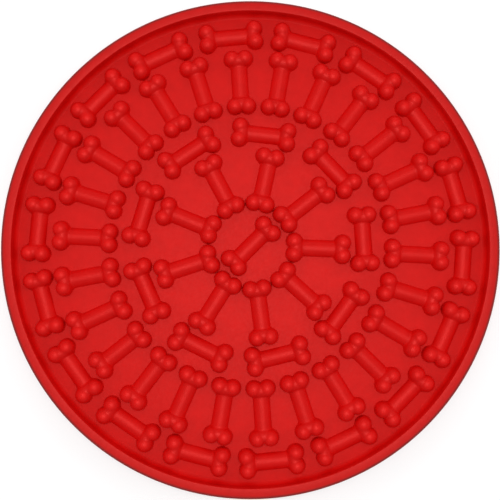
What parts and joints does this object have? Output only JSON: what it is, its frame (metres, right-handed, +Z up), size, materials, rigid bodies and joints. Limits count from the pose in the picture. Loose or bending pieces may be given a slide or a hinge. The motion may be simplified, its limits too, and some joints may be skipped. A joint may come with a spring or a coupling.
{
  "type": "lick mat",
  "caption": "Round soft mat with a raised rim and rings of raised bones that hold spread pet food, and suction cups under it that grip a smooth floor or wall.",
  "frame": {"origin": "centre of the mat's round outline, on the plane that the suction cups' lips rest on", "axes": "+Z up, away from the suction cups; +X to the right and +Y to the top of the picture"},
  "size_m": [0.2, 0.2, 0.0115],
  "materials": {
    "silicone": "matte"
  },
  "bodies": {
    "root": {"base_sheet": "silicone", "raised_rim": "silicone", "centre_bone": "silicone", "inner_bones": "silicone", "middle_bones": "silicone", "spoke_bones": "silicone", "outer_bones": "silicone", "suction_cup_1": "silicone", "suction_cup_2": "silicone", "suction_cup_3": "silicone", "suction_cup_4": "silicone", "suction_cup_5": "silicone", "suction_cup_6": "silicone", "suction_cup_7": "silicone", "suction_cup_8": "silicone", "suction_cup_9": "silicone", "suction_cup_10": "silicone", "suction_cup_11": "silicone", "suction_cup_12": "silicone", "suction_cup_13": "silicone", "suction_cup_14": "silicone", "suction_cup_15": "silicone", "suction_cup_16": "silicone", "suction_cup_17": "silicone", "suction_cup_18": "silicone", "suction_cup_19": "silicone"}
  },
  "joints": []
}
